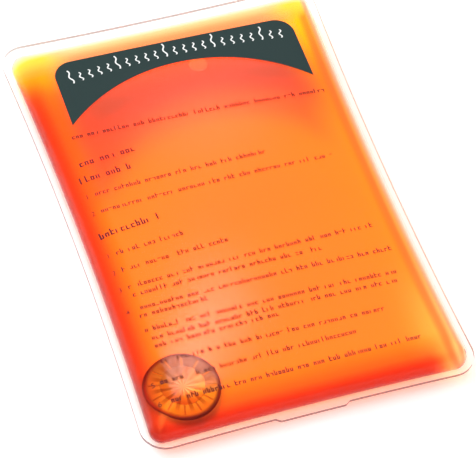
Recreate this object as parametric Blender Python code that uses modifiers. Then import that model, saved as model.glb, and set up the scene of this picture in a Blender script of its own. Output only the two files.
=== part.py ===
"""Reusable gel hand warmer: a welded clear pouch, the liquid in it and a loose clicker disc.

+X runs across the pouch, +Y runs along it towards the printed header, +Z is up.
The origin is under the middle of the pouch, on the surface that it lies on.
"""
import math

import bmesh
import bpy
from mathutils import Matrix, Vector

MM = 0.001

# Pouch outline, over the cut edge of the flange
POUCH_WIDTH = 95.0 * MM
POUCH_LENGTH = 140.0 * MM
CUT_CORNER_RADIUS = 7.5 * MM
SIDE_DRAW_IN = 1.9 * MM
END_DRAW_IN = 0.8 * MM

# Welded flange around the filled chamber
FLANGE_SIDE = 2.3 * MM
FLANGE_HEADER_END = 4.3 * MM
FLANGE_FILL_END = 2.6 * MM
WELD_CORNER_RADIUS = 4.0 * MM
WELD_HEIGHT = 5.5 * MM
WELD_GAP = 0.1 * MM

# Sealed fill port, a tab on the flange's lower end
PORT_CENTRE_X = -1.0 * MM
PORT_LENGTH = 21.0 * MM
PORT_STEP = 1.4 * MM
PORT_PROUD = 1.0 * MM

# Film and what it holds
FILM_THICKNESS = 0.4 * MM
FIT_CLEARANCE = 0.3 * MM

# Filled shape over and under the weld plane
RIM_WIDTH = 8.0 * MM
RIM_RISE = 6.3 * MM
CROWN_RISE = 1.9 * MM
HEADER_END_DROP = 1.0 * MM
BELLY_RIM_WIDTH = 7.0 * MM
LYING_FLAT_CUT = 0.5 * MM

# Air bubble under the front film
BUBBLE_DIAMETER = 6.0 * MM
BUBBLE_DEPTH = 1.2 * MM
BUBBLE_X = 4.8 * MM
BUBBLE_FROM_HEADER_WELD = 21.2 * MM

# Clicker disc: a slotted steel rim round a snap dome that bulges down at rest
DISC_DIAMETER = 20.0 * MM
DISC_THICKNESS = 0.3 * MM
DISC_LIP_DROP = 0.35 * MM
DISC_LIP_WIDTH = 0.7 * MM
DISC_FROM_SIDE_WELD = 3.5 * MM
DISC_FROM_END_WELD = 7.0 * MM
DOME_DIAMETER = 12.0 * MM
DOME_DEPTH = 0.9 * MM
DOME_GAP = 0.15 * MM
DISC_SLOTS = 12
SLOT_WIDTH = 0.45 * MM
SLOT_END_FROM_EDGE = 1.1 * MM

# Printed header panel on the front film
PANEL_WIDTH = 71.0 * MM
PANEL_CENTRE_X = -0.9 * MM
PANEL_FROM_HEADER_WELD = 10.0 * MM
PANEL_WAIST = 8.5 * MM
PANEL_CORNER_RADIUS = 5.5 * MM
PANEL_ARCH_RADIUS = 51.7 * MM
PANEL_TURN = math.radians(-1.0)
INK_THICKNESS = 0.12 * MM
INK_GAP = 0.08 * MM

# Facets of the pouch: lines at these shares of the rim's width, and evenly across the middle
RIM_LINE_SHARES = (0.0, 0.04, 0.14, 0.34, 0.64, 1.0)
MIDDLE_LINES_ACROSS = 7
MIDDLE_LINES_ALONG = 11
ROUND_STEPS = 48
CORNER_STEPS = 6
ARCH_STEPS = 20
BUBBLE_STEPS = 16
DOME_STEPS = 6
RIDGE_POWER = 5.0
CUTTER_OVERRUN = 2.0 * MM

HALF_WIDTH = POUCH_WIDTH / 2
HALF_LENGTH = POUCH_LENGTH / 2
WELD_HALF_WIDTH = HALF_WIDTH - FLANGE_SIDE
WELD_TOP_Y = HALF_LENGTH - FLANGE_HEADER_END
WELD_BOTTOM_Y = -HALF_LENGTH + FLANGE_FILL_END
BELLY_DEPTH = WELD_HEIGHT - WELD_GAP / 2 - FILM_THICKNESS
BUBBLE_Y = WELD_TOP_Y - BUBBLE_FROM_HEADER_WELD
PANEL_TOP_Y = WELD_TOP_Y - PANEL_FROM_HEADER_WELD
PANEL_ARCH_TOP_Y = PANEL_TOP_Y - PANEL_WAIST

FILM_CLEAR = ((0.95, 0.90, 0.88, 0.35), 0.08, 0.0)
GEL_ORANGE = ((1.0, 0.27, 0.03, 1.0), 0.10, 0.0)
STEEL = ((0.70, 0.68, 0.66, 1.0), 0.30, 1.0)
INK_SLATE = ((0.050, 0.065, 0.072, 1.0), 0.35, 0.0)


def clear_scene():
    for thing in list(bpy.data.objects):
        bpy.data.objects.remove(thing, do_unlink=True)


def new_collection(name):
    group = bpy.data.collections.new(name)
    bpy.context.scene.collection.children.link(group)
    return group


def make_material(name, finish):
    colour, roughness, metallic = finish
    material = bpy.data.materials.new(name)
    material.use_nodes = True
    shader = material.node_tree.nodes["Principled BSDF"]
    shader.inputs["Base Color"].default_value = colour
    shader.inputs["Roughness"].default_value = roughness
    shader.inputs["Metallic"].default_value = metallic
    return material


def add_object(name, mesh, collection, material=None, smooth=True):
    thing = bpy.data.objects.new(name, mesh)
    collection.objects.link(thing)
    if material:
        mesh.materials.append(material)
    if smooth:
        mesh.shade_smooth()
        mesh.set_sharp_from_angle(angle=math.radians(35))
    return thing


def add_cutter(name, mesh, collection):
    cutter = add_object(name, mesh, collection, smooth=False)
    cutter.hide_render = True
    cutter.display_type = "WIRE"
    return cutter


def add_boolean(thing, cutter, operation):
    cut = thing.modifiers.new(cutter.name, "BOOLEAN")
    cut.operation = operation
    cut.solver = "EXACT"
    cut.object = cutter


def mesh_from(name, build):
    """A new mesh from a function that fills a bmesh."""
    mesh = bpy.data.meshes.new(name)
    bm = bmesh.new()
    build(bm)
    bm.to_mesh(mesh)
    bm.free()
    return mesh


class Line:
    """A grid line of the pouch: its place, and its inset from the weld (negative on the flange)."""

    def __init__(self, place, inset):
        self.place = place
        self.inset = inset


def grid_lines(low, high, flange_low, flange_high, middle, extra=()):
    """Lines from cut edge to cut edge: flange, rim, middle, rim, flange."""
    insets = [share * RIM_WIDTH for share in RIM_LINE_SHARES]
    rim_low, rim_high = low + RIM_WIDTH, high - RIM_WIDTH
    step = (rim_high - rim_low) / (middle + 1)
    places = sorted([rim_low + step * k for k in range(1, middle + 1)] + list(extra))
    lines = [Line(low - flange_low, -FLANGE_SIDE)]
    lines += [Line(low + inset, inset) for inset in insets]
    lines += [Line(place, min(place - low, high - place)) for place in places]
    lines += [Line(high - inset, inset) for inset in reversed(insets)]
    lines += [Line(high + flange_high, -FLANGE_SIDE)]
    return lines


def port_lines():
    """Lines across the pouch where the fill port's tab starts and ends."""
    half = PORT_LENGTH / 2
    ends = (half, half - PORT_STEP)
    return [PORT_CENTRE_X - end for end in ends] + [PORT_CENTRE_X + end for end in ends]


def outline_edge(lines, inset, sign):
    """Where the ring at this inset crosses an axis, on the low (-1) or the high (+1) side."""
    if inset < 0:
        return lines[0].place if sign < 0 else lines[-1].place
    return lines[1].place + inset if sign < 0 else lines[-2].place - inset


def ring_radius(inset):
    """The corner radius of the ring at this inset: the cut corner, the weld corner or less."""
    if inset < 0:
        return CUT_CORNER_RADIUS
    return max(WELD_CORNER_RADIUS - inset, 0.0)


def rounded(across, along, lines_x, lines_y):
    """The place of a grid crossing once its square ring has round corners."""
    inset = min(across.inset, along.inset)
    radius = ring_radius(inset)
    middle_x = (lines_x[1].place + lines_x[-2].place) / 2
    middle_y = (lines_y[1].place + lines_y[-2].place) / 2
    sign_x = 1 if across.place > middle_x else -1
    sign_y = 1 if along.place > middle_y else -1
    edge_x = outline_edge(lines_x, inset, sign_x)
    edge_y = outline_edge(lines_y, inset, sign_y)
    from_corner = max(abs(edge_x - across.place), abs(edge_y - along.place))
    if from_corner >= radius:
        return across.place, along.place
    turn = math.radians(45) * (1 - from_corner / radius)
    if across.inset > along.inset:
        turn = math.radians(90) - turn
    return (
        edge_x - sign_x * radius * (1 - math.cos(turn)),
        edge_y - sign_y * radius * (1 - math.sin(turn)),
    )


def drawn_in(x, y):
    """The sides and ends pull in between the corners as the pouch fills."""
    share_x, share_y = x / HALF_WIDTH, y / HALF_LENGTH
    return (
        x - SIDE_DRAW_IN * share_x * (1 - share_y**2),
        y - END_DRAW_IN * share_y * (1 - share_x**2),
    )


def port_bulge(x):
    """How far the fill port's tab stands out of the cut edge here."""
    reach = PORT_LENGTH / 2 - abs(x - PORT_CENTRE_X)
    return PORT_PROUD * min(max(reach / PORT_STEP, 0.0), 1.0)


def soft_inset(across, along):
    """The inset from the weld, eased where two rims meet in a ridge at a corner."""
    if min(across, along) <= 0:
        return 0.0
    return (across**-RIDGE_POWER + along**-RIDGE_POWER) ** (-1 / RIDGE_POWER)


def rim_profile(inset, width):
    """The quarter ellipse of a filled edge: 0 at the weld, 1 past the rim."""
    left = 1 - min(inset / width, 1.0)
    return math.sqrt(1 - left**2)


def front_rise(across, along):
    """Height of the front film's inner face over the weld plane."""
    share_x = across.place / WELD_HALF_WIDTH
    share_y = along.place / WELD_TOP_Y
    crown = CROWN_RISE * max(1 - share_x**2, 0.0) * max(1 - share_y**2, 0.0)
    drop = HEADER_END_DROP * max(share_y, 0.0) ** 2
    return rim_profile(soft_inset(across.inset, along.inset), RIM_WIDTH) * (RIM_RISE - drop) + crown


def back_fall(across, along):
    """Depth of the back film's inner face under the weld plane, cut flat where it lies."""
    profile = rim_profile(soft_inset(across.inset, along.inset), BELLY_RIM_WIDTH)
    return min(profile * (BELLY_DEPTH + LYING_FLAT_CUT), BELLY_DEPTH)


def pouch_sheet(bm, side, with_flange=True):
    """An open sheet, the inner face of the front (+1) or the back (-1) film, facing out."""
    lines_x = grid_lines(
        -WELD_HALF_WIDTH, WELD_HALF_WIDTH, FLANGE_SIDE, FLANGE_SIDE, MIDDLE_LINES_ACROSS, port_lines()
    )
    lines_y = grid_lines(
        WELD_BOTTOM_Y, WELD_TOP_Y, FLANGE_FILL_END, FLANGE_HEADER_END, MIDDLE_LINES_ALONG
    )
    first = 0 if with_flange else 1
    count_x, count_y = len(lines_x) - 1 - 2 * first, len(lines_y) - 1 - 2 * first
    made = bmesh.ops.create_grid(bm, x_segments=count_x, y_segments=count_y, size=1)["verts"]
    height = front_rise if side > 0 else back_fall
    for vertex in made:
        across = lines_x[first + round((vertex.co.x + 1) / 2 * count_x)]
        along = lines_y[first + round((vertex.co.y + 1) / 2 * count_y)]
        x, y = drawn_in(*rounded(across, along, lines_x, lines_y))
        if along is lines_y[0]:
            y -= port_bulge(x)
        z = WELD_HEIGHT + side * (WELD_GAP / 2 + height(across, along))
        vertex.co = (x, y, z)
    if side < 0:
        faces = {face for vertex in made for face in vertex.link_faces}
        bmesh.ops.reverse_faces(bm, faces=list(faces))
    bm.normal_update()
    return made


def move_along_normals(vertices, distance):
    moves = [(vertex, vertex.normal * distance) for vertex in vertices]
    for vertex, move in moves:
        vertex.co += move


def make_film(name, side, collection, material):
    """One film: its inner face from the sheet, thickened outwards."""
    film = add_object(name, mesh_from(name, lambda bm: pouch_sheet(bm, side)), collection, material)
    wall = film.modifiers.new("film", "SOLIDIFY")
    wall.thickness = FILM_THICKNESS
    wall.offset = 1
    wall.use_even_offset = True


def gel_body(bm):
    """The liquid: both sheets moved in by the clearance and closed on the weld plane."""
    for side in (1, -1):
        made = pouch_sheet(bm, side, with_flange=False)
        seam = [vertex for vertex in made if vertex.is_boundary]
        move_along_normals(made, -FIT_CLEARANCE)
        for vertex in seam:
            vertex.co.z = WELD_HEIGHT
    bmesh.ops.remove_doubles(bm, verts=bm.verts, dist=WELD_GAP / 10)


def disc_pocket(bm, disc):
    """The space that the disc keeps in the liquid, open onto the back film."""
    radius = DISC_DIAMETER / 2 + FIT_CLEARANCE
    top = disc.z + DISC_THICKNESS + FIT_CLEARANCE
    height = top + CUTTER_OVERRUN
    made = bmesh.ops.create_cone(
        bm, cap_ends=True, segments=ROUND_STEPS, radius1=radius, radius2=radius, depth=height
    )
    bmesh.ops.translate(bm, verts=made["verts"], vec=(disc.x, disc.y, top - height / 2))


def air_bubble(bm):
    """The flat bubble that stays under the front film."""
    half = BUBBLE_DIAMETER / 2
    middle = (BUBBLE_X, BUBBLE_Y, gel_top(BUBBLE_X, BUBBLE_Y))
    made = bmesh.ops.create_uvsphere(bm, u_segments=BUBBLE_STEPS, v_segments=BUBBLE_STEPS, radius=1)
    bmesh.ops.scale(bm, verts=made["verts"], vec=(half, half, BUBBLE_DEPTH))
    bmesh.ops.translate(bm, verts=made["verts"], vec=middle)


def make_gel(collection, cutters, material, disc):
    gel = add_object("gel_fill", mesh_from("gel_fill", gel_body), collection, material)
    pocket = mesh_from("disc_pocket", lambda bm: disc_pocket(bm, disc))
    bubble = mesh_from("air_bubble", air_bubble)
    for mesh in (pocket, bubble):
        add_boolean(gel, add_cutter(mesh.name, mesh, cutters), "DIFFERENCE")


def gel_top(x, y):
    """Height of the liquid's upper face at a place well inside the rims."""
    across = Line(x, WELD_HALF_WIDTH - abs(x))
    along = Line(y, min(WELD_TOP_Y - y, y - WELD_BOTTOM_Y))
    return WELD_HEIGHT + WELD_GAP / 2 + front_rise(across, along) - FIT_CLEARANCE


def disc_place():
    """The disc's centre and its rim's underside, in the corner where it lies."""
    radius = DISC_DIAMETER / 2
    y = WELD_BOTTOM_Y + DISC_FROM_END_WELD + radius
    weld_x = drawn_in(-WELD_HALF_WIDTH, y)[0]
    x = weld_x + DISC_FROM_SIDE_WELD + radius
    z = FILM_THICKNESS + FIT_CLEARANCE + DOME_DEPTH
    return Vector((x, y, z))


def profile_mesh(name, points, closed):
    """A profile in the XZ plane, as edges for a Screw modifier."""

    def build(bm):
        vertices = [bm.verts.new((radius, 0, z)) for radius, z in points]
        pairs = list(zip(vertices, vertices[1:]))
        if closed:
            pairs.append((vertices[-1], vertices[0]))
        for pair in pairs:
            bm.edges.new(pair)

    return mesh_from(name, build)


def turn_profile(thing):
    screw = thing.modifiers.new("turned", "SCREW")
    screw.axis = "Z"
    screw.steps = ROUND_STEPS
    screw.render_steps = ROUND_STEPS
    screw.use_merge_vertices = True
    screw.merge_threshold = 0.001 * MM
    screw.use_normal_calculate = False


def disc_slots(bm):
    """Radial slots, open to the middle, that stop short of the disc's edge."""
    start = DOME_DIAMETER / 2 - SLOT_WIDTH
    end = DISC_DIAMETER / 2 - SLOT_END_FROM_EDGE
    size = (end - start, SLOT_WIDTH, DISC_THICKNESS + 2 * CUTTER_OVERRUN)
    for k in range(DISC_SLOTS):
        made = bmesh.ops.create_cube(bm, size=1)["verts"]
        bmesh.ops.scale(bm, verts=made, vec=size)
        bmesh.ops.translate(bm, verts=made, vec=((start + end) / 2, 0, 0))
        turn = Matrix.Rotation(math.tau * (k + 0.5) / DISC_SLOTS, 3, "Z")
        bmesh.ops.rotate(bm, verts=made, cent=(0, 0, 0), matrix=turn)


def make_disc_rim(collection, cutters, material, disc):
    """The outer ring of the disc, with its turned-down lip and its radial slots."""
    outer, inner = DISC_DIAMETER / 2, DOME_DIAMETER / 2 + DOME_GAP
    lip_from = outer - DISC_LIP_WIDTH
    points = [
        (inner, DISC_THICKNESS),
        (lip_from, DISC_THICKNESS),
        (outer, DISC_THICKNESS - DISC_LIP_DROP),
        (outer - DISC_THICKNESS / 2, -DISC_LIP_DROP),
        (lip_from - DISC_THICKNESS / 2, 0),
        (inner, 0),
    ]
    mesh = profile_mesh("clicker_disc_rim", points, closed=True)
    rim = add_object("clicker_disc_rim", mesh, collection, material)
    rim.location = disc
    turn_profile(rim)

    cutter = add_cutter("disc_slots", mesh_from("disc_slots", disc_slots), cutters)
    cutter.location = disc
    add_boolean(rim, cutter, "DIFFERENCE")


def make_disc_dome(collection, material, disc):
    """The snap dome in the middle of the disc, a shallow cap that bulges down."""
    radius = DOME_DIAMETER / 2
    sphere = (radius**2 + DOME_DEPTH**2) / (2 * DOME_DEPTH)

    def underside(r):
        return sphere - DOME_DEPTH - math.sqrt(sphere**2 - r**2)

    radii = [radius * k / DOME_STEPS for k in range(DOME_STEPS + 1)]
    top = [(r, underside(r) + DISC_THICKNESS) for r in radii]
    bottom = [(r, underside(r)) for r in reversed(radii)]
    mesh = profile_mesh("clicker_disc_dome", top + bottom, closed=False)
    dome = add_object("clicker_disc_dome", mesh, collection, material)
    dome.location = disc
    turn_profile(dome)


def panel_outline():
    """The header panel's outline: round upper corners and an arched lower edge."""
    half = PANEL_WIDTH / 2
    radius = PANEL_CORNER_RADIUS
    points = []
    for sign, start in ((1, 0), (-1, 90)):
        for k in range(CORNER_STEPS + 1):
            turn = math.radians(start + 90 * k / CORNER_STEPS)
            corner = (sign * (half - radius), PANEL_TOP_Y - radius)
            points.append((corner[0] + radius * math.cos(turn), corner[1] + radius * math.sin(turn)))
    centre_y = PANEL_ARCH_TOP_Y - PANEL_ARCH_RADIUS
    spread = math.asin(half / PANEL_ARCH_RADIUS)
    for k in range(ARCH_STEPS + 1):
        turn = math.radians(90) + spread * (1 - 2 * k / ARCH_STEPS)
        points.append(
            (PANEL_ARCH_RADIUS * math.cos(turn), centre_y + PANEL_ARCH_RADIUS * math.sin(turn))
        )
    return points


def make_panel_prism(cutters):
    """The outline as a tall solid, for cutting the ink layer out of a sheet."""
    curve = bpy.data.curves.new("panel_outline", "CURVE")
    curve.dimensions = "2D"
    curve.fill_mode = "BOTH"
    curve.extrude = (RIM_RISE + CROWN_RISE) / 2
    points = panel_outline()
    spline = curve.splines.new("POLY")
    spline.points.add(len(points) - 1)
    for point, (x, y) in zip(spline.points, points):
        point.co = (x, y, 0, 1)
    spline.use_cyclic_u = True
    guide = bpy.data.objects.new("panel_outline", curve)
    bpy.context.scene.collection.objects.link(guide)
    evaluated = guide.evaluated_get(bpy.context.evaluated_depsgraph_get())
    mesh = bpy.data.meshes.new_from_object(evaluated)
    bm = bmesh.new()
    bm.from_mesh(mesh)
    bmesh.ops.remove_doubles(bm, verts=bm.verts, dist=0.001 * MM)
    bmesh.ops.recalc_face_normals(bm, faces=bm.faces)
    bm.to_mesh(mesh)
    bm.free()
    bpy.data.objects.remove(guide, do_unlink=True)
    prism = add_cutter("panel_prism", mesh, cutters)
    prism.location = (PANEL_CENTRE_X, 0, WELD_HEIGHT + RIM_RISE)
    prism.rotation_euler.z = PANEL_TURN
    return prism


def make_header_panel(collection, cutters, material):
    """The ink layer on the front film: a thin skin that follows the film's outer face."""

    def sheet(bm):
        made = pouch_sheet(bm, 1, with_flange=False)
        move_along_normals(made, FILM_THICKNESS + INK_GAP)

    panel = add_object("header_print", mesh_from("header_print", sheet), collection, material)
    ink = panel.modifiers.new("ink", "SOLIDIFY")
    ink.thickness = INK_THICKNESS
    ink.offset = 1
    add_boolean(panel, make_panel_prism(cutters), "INTERSECT")


def build():
    clear_scene()
    parts = new_collection("gel_hand_warmer")
    cutters = new_collection("cutters")
    clear = make_material("clear_film", FILM_CLEAR)
    orange = make_material("gel", GEL_ORANGE)
    steel = make_material("disc_steel", STEEL)
    slate = make_material("header_ink", INK_SLATE)
    disc = disc_place()
    make_film("front_film", 1, parts, clear)
    make_film("back_film", -1, parts, clear)
    make_gel(parts, cutters, orange, disc)
    make_disc_rim(parts, cutters, steel, disc)
    make_disc_dome(parts, steel, disc)
    make_header_panel(parts, cutters, slate)


build()
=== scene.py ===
"""The looks of a reusable gel hand warmer: clear film, orange liquid, a steel clicker disc and print.

+X runs across the pouch, +Y along it towards the header, +Z up, in metres, as in the frame.
"""

import math

import bmesh
import bpy
from bpy.props import FloatProperty, FloatVectorProperty, IntProperty, PointerProperty
from bpy.types import Operator, Panel, PropertyGroup
from mathutils import Matrix, Vector
from mathutils.bvhtree import BVHTree


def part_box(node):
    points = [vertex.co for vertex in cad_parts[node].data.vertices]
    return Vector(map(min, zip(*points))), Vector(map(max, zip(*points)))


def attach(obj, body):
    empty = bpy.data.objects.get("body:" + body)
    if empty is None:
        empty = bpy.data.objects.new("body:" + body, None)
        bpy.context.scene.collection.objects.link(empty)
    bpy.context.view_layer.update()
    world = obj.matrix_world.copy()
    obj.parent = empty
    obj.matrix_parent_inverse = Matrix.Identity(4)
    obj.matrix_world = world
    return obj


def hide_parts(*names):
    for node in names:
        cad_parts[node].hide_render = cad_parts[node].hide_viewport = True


bl_info = {
    "name": "Gel hand warmer",
    "version": (1, 0, 0),
    "blender": (4, 5, 0),
    "location": "View3D > Sidebar > Hand warmer",
    "description": "Builds the visible pieces of a reusable gel hand warmer round its frame",
    "category": "Object",
}

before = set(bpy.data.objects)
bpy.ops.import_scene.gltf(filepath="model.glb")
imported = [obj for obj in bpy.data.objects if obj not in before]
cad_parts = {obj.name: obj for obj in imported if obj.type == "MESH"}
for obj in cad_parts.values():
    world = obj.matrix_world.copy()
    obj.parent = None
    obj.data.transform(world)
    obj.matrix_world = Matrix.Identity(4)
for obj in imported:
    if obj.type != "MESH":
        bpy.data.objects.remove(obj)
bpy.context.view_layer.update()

MM = 0.001
SHARP_ANGLE = math.radians(35)
SCHLICK_POWER = 5.0
# Mix Color's sockets for colours, and Random Value's output for yes or no, by their place on the node
MIX_FACTOR, MIX_FIRST, MIX_SECOND, MIX_RESULT = 0, 6, 7, 2
YES_OR_NO = 3
WAVE_POINTS = 18
WAVE_SIDES = 8
# How often a letter mark has its first and second upright, and its upper and lower cross stroke
STROKE_CHANCES = (0.9, 0.6, 0.5, 0.4)

# Lines of print on the front film: where each starts and ends, in millimetres
TEXT_LINES = (
    ((-38.0, 29.1), (35.7, 26.0)),
    ((-36.6, 8.7), (12.0, 9.0)),
    ((-36.7, 2.8), (29.9, 3.4)),
    ((-37.0, -11.7), (-18.7, -11.0)),
    ((-37.2, -17.4), (-6.6, -16.5)),
    ((-37.3, -23.2), (32.2, -22.2)),
    ((-36.9, -26.0), (16.0, -26.0)),
    ((-37.4, -30.5), (34.6, -30.8)),
    ((-37.2, -33.0), (-18.9, -33.0)),
    ((-37.3, -37.7), (33.2, -38.4)),
    ((-37.4, -40.6), (32.4, -41.2)),
    ((-37.4, -43.2), (-2.3, -43.0)),
    ((-37.4, -48.2), (25.8, -48.9)),
    ((-38.4, -54.3), (15.9, -53.7)),
    ((-38.5, -60.4), (32.3, -59.8)),
)
HEADING_LINES = (
    ((-39.0, 19.3), (-22.6, 20.0)),
    ((-39.0, 14.0), (-25.5, 14.5)),
    ((-39.3, -5.2), (-22.8, -4.0)),
)
STEP_NUMBERS = (
    ("1", (-39.7, 8.7)),
    ("2", (-39.8, 2.8)),
    ("1", (-40.1, -11.7)),
    ("2", (-40.3, -17.4)),
    ("3", (-40.4, -23.2)),
    ("4", (-40.6, -30.5)),
    ("5", (-41.3, -54.3)),
    ("6", (-41.4, -60.4)),
)


def length(name, description, millimetres):
    return FloatProperty(
        name=name, description=description, default=millimetres * MM, unit="LENGTH", precision=5
    )


def colour(name, description, value):
    return FloatVectorProperty(
        name=name, description=description, default=value, subtype="COLOR", size=3, min=0.0, max=1.0
    )


def share(name, description, value):
    return FloatProperty(name=name, description=description, default=value, min=0.0, max=1.0)


def number(name, description, value):
    return FloatProperty(name=name, description=description, default=value)


def pair(name, description, first, second):
    return FloatVectorProperty(name=name, description=description, default=(first, second), size=2)


def span(name, description, start, end):
    """Two places in millimetres: where a colour starts, and where it is full."""
    return pair(name, description, start, end)


class WarmerPouch(PropertyGroup):
    """The welded pouch: its outline, its flange and its filled shape."""

    width: length("Width", "Across the cut edge", 95.0)
    length: length("Length", "Along the cut edge", 140.0)
    cut_radius: length("Cut corner radius", "Radius of the flange's corners", 7.5)
    side_draw_in: length("Side draw-in", "How far the long sides pull in at their middle", 1.9)
    end_draw_in: length("End draw-in", "How far the ends pull in at their middle", 0.8)
    flange_side: length("Side flange", "Flange along the sides", 2.3)
    flange_header: length("Header flange", "Flange at the header end", 4.3)
    flange_fill: length("Fill flange", "Flange at the fill end", 2.6)
    weld_radius: length("Weld corner radius", "Radius of the weld's corners", 4.0)
    weld_height: length("Weld height", "Weld plane over the table", 5.5)
    weld_gap: length("Weld gap", "Gap between the films on the flange", 0.1)
    port_x: length("Port centre", "Middle of the fill port's tab", -1.0)
    port_length: length("Port length", "Length of the fill port's tab", 21.0)
    port_step: length("Port step", "Slope at each end of the tab", 1.4)
    port_proud: length("Port proud", "How far the tab stands out", 1.0)
    film: length("Film", "Thickness of each film", 0.4)
    gel_inset: length("Liquid inset", "Gap between the film and the liquid's surface", 0.05)
    rim_width: length("Rim width", "Width of the front's steep rim", 8.0)
    rim_rise: length("Rim rise", "Height of the front over the weld at the rim's inner end", 6.3)
    crown_rise: length("Crown", "Rise of the front from the rim to the middle", 1.9)
    header_drop: length("Header drop", "How much lower the front is at the header end", 1.0)
    belly_rim: length("Belly rim", "Width of the back's steep rim", 7.0)
    flat_cut: length("Flat cut", "How much of the back is pressed flat", 0.5)
    gloss: share("Film gloss", "What a film's face mirrors when seen straight on", 0.012)
    gloss_roughness: share("Gloss roughness", "How soft a film's gloss is", 0.12)
    front_power: number("Front roundness", "2 is an ellipse, more is squarer", 2.0)
    back_power: number("Back roundness", "2 is an ellipse, more is squarer", 2.0)
    # Painted shade on the cut edge: rose-brown at the left and the fill end, from the liquid's red light
    edge_shade: colour("Tinted edge", "Cut edge at the left and the fill end", (0.26, 0.08, 0.09))
    edge_clear: colour("Clear edge", "Cut edge elsewhere", (0.80, 0.76, 0.75))
    edge_left: span("Edge at left", "Where the left edge's tint starts, by X", -20.0, -42.0)
    edge_fill: span("Edge at fill end", "Where the fill end's tint starts, by Y", -50.0, -66.0)
    edge_header: span("Edge at header", "Where the tint has gone and where it is whole, by Y", 67.0, 60.0)


class WarmerGel(PropertyGroup):
    """The liquid's colour and optics. Much of its colour is painted light and shade."""

    tint: colour("Tint", "What a depth of the liquid lets through, by colour", (0.997, 0.92, 0.72))
    density: number("Density", "Absorption per metre", 400.0)
    ior: number("IOR", "How much the liquid bends what is seen in it", 1.08)
    roughness: share("Roughness", "Roughness of the liquid's surface", 0.03)
    body: colour("Body", "Dye of the liquid's middle", (1.0, 0.50, 0.12))
    # Deep and the darkest tone: painted shade, the deeper red where light runs far through the liquid at the
    # left and the fill end
    deep: colour("Deep", "Dye at the left and the fill end", (0.52, 0.060, 0.030))
    darkest_shade: colour("Dark", "Dye where it is darkest, at the fill end's weld", (0.30, 0.008, 0.006))
    # Painted light: yellow where light comes into the header end's thin corners
    bright: colour("Bright", "Dye in the corners of the header end", (1.0, 0.80, 0.02))
    # Painted light, paler at the header end's middle, and a painted highlight in the right fill corner
    peach_light: colour("Peach", "Dye of the header end's middle and of the right fill corner", (1.0, 0.76, 0.50))
    # Painted shadow of the header panel
    shaded: colour("Shaded", "Dye in the shade of the header panel", (1.0, 0.25, 0.20))
    # Painted shade with a pink sheen along the liquid's thin right edge
    coral: colour("Coral", "Dye of the liquid's thin right edge", (0.95, 0.27, 0.20))
    # Painted highlight on the corner's ridge by the disc
    ridge: colour("Ridge", "Dye on the ridge in the corner by the disc", (1.0, 0.42, 0.34))
    bubble: colour("Bubble", "Dye of the liquid's skin under the air bubble", (1.0, 0.75, 0.75))
    bubble_x: length("Bubble place", "Air bubble from the pouch's middle line", 4.8)
    bubble_y: length("Bubble from header", "Air bubble from the header weld", 20.5)
    bubble_rim: span("Bubble rim", "From the bubble's middle", 2.9, 2.3)
    bubble_height: span("Bubble height", "Over the table, so that only the upper skin is dyed", 8.0, 9.0)
    # Where the painted shadow of the header panel lies
    shade_shift: number("Shade shift", "Panel's shade to the right of it, in millimetres", 5.0)
    shade_arch: span("Shade at arch", "From the arch's line", -18.0, -8.0)
    shade_foot: span("Shade foot", "Over the arch's centre", 12.0, 24.0)
    shade_side: span("Shade at sides", "From the side weld", 4.0, 12.0)
    # Spans of the painted light, the painted highlight and the pale top
    fill_corner_x: span("Fill corner across", "From the right weld", 15.0, 4.0)
    fill_corner_y: span("Fill corner along", "From the fill end", 40.0, 9.0)
    top_corner_x: span("Top corner across", "From the right weld", 14.0, 4.0)
    top_corner_y: span("Top corner along", "From the header end", 30.0, 10.0)
    top_ends: span("Ends of the top", "From the side weld", 16.0, 6.0)
    top_bright: span("Bright top", "From the header end", 13.0, 4.0)
    top_peach: span("Peach top", "From the header end", 8.0, 3.0)
    top_pale: span("Pale top", "From the header end", 4.5, 0.5)
    # Where the painted shade lies
    deep_left: span("Deep left", "From the left weld", 9.0, 1.8)
    deep_fill: span("Deep fill end", "From the fill end", 9.0, 1.0)
    deep_right: span("Deep at right", "From the right weld", 2.0, 12.0)
    deep_top: span("Deep at top", "From the header end", 2.0, 18.0)
    dark_fill: span("Dark fill end", "From the fill end", 3.0, 0.5)
    dark_right: span("Dark at right", "From the right weld", 1.0, 12.0)
    # Where the painted ridge highlight lies
    ridge_width: span("Ridge width", "From the corner's diagonal", 2.4, 0.2)
    ridge_height: span("Ridge height", "Over the table, so that only the upper skin is dyed", 6.0, 7.0)
    ridge_start: span("Ridge start", "From the left weld", 1.5, 4.0)
    ridge_end: span("Ridge end", "From the left weld", 11.0, 8.0)
    # Where the painted coral edge and the pale edge lie
    coral_right: span("Coral right", "From the right weld", 3.8, 2.2)
    pale_right: span("Pale right", "From the right weld", 1.9, 0.7)


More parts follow.
